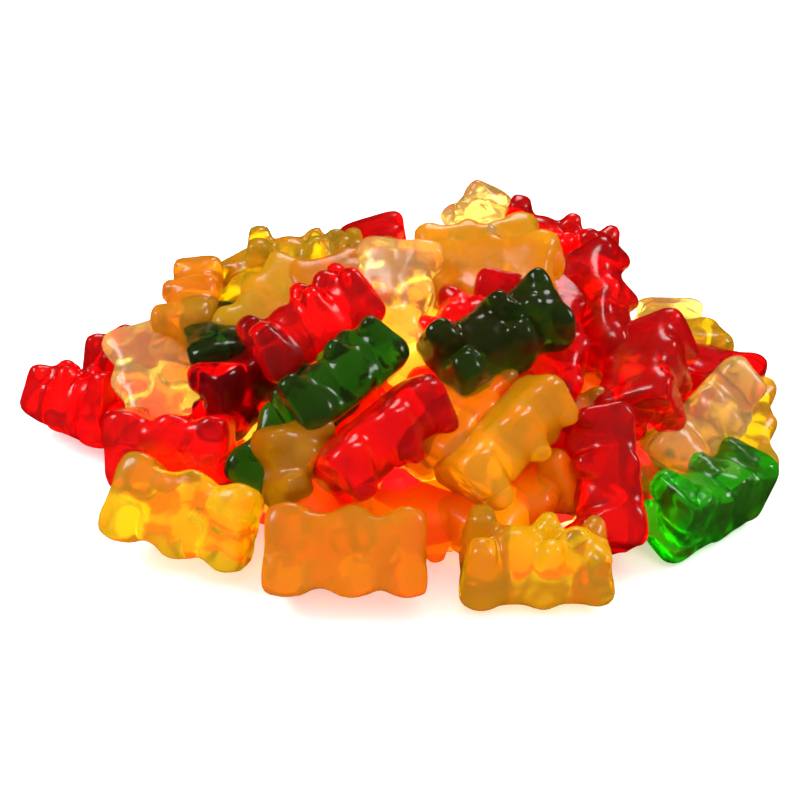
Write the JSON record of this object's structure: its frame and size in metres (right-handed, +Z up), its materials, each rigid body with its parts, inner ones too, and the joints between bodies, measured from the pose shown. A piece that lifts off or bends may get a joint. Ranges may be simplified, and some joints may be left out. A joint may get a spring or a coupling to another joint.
{
  "type": "heap of gummy bears",
  "caption": "Loose heap of translucent gummy bears in red, orange, yellow, green and clear, piled into a low uneven mound on a flat underside.",
  "frame": {"origin": "on the flat underside, below the middle of the heap", "axes": "+Z up, -Y towards the side from which the heap is seen, +X to the right from there"},
  "size_m": [0.1273, 0.1055, 0.0403],
  "materials": {
    "gummy": "glossy, translucent"
  },
  "bodies": {
    "root": {"gummy_heap": "gummy"}
  },
  "joints": []
}
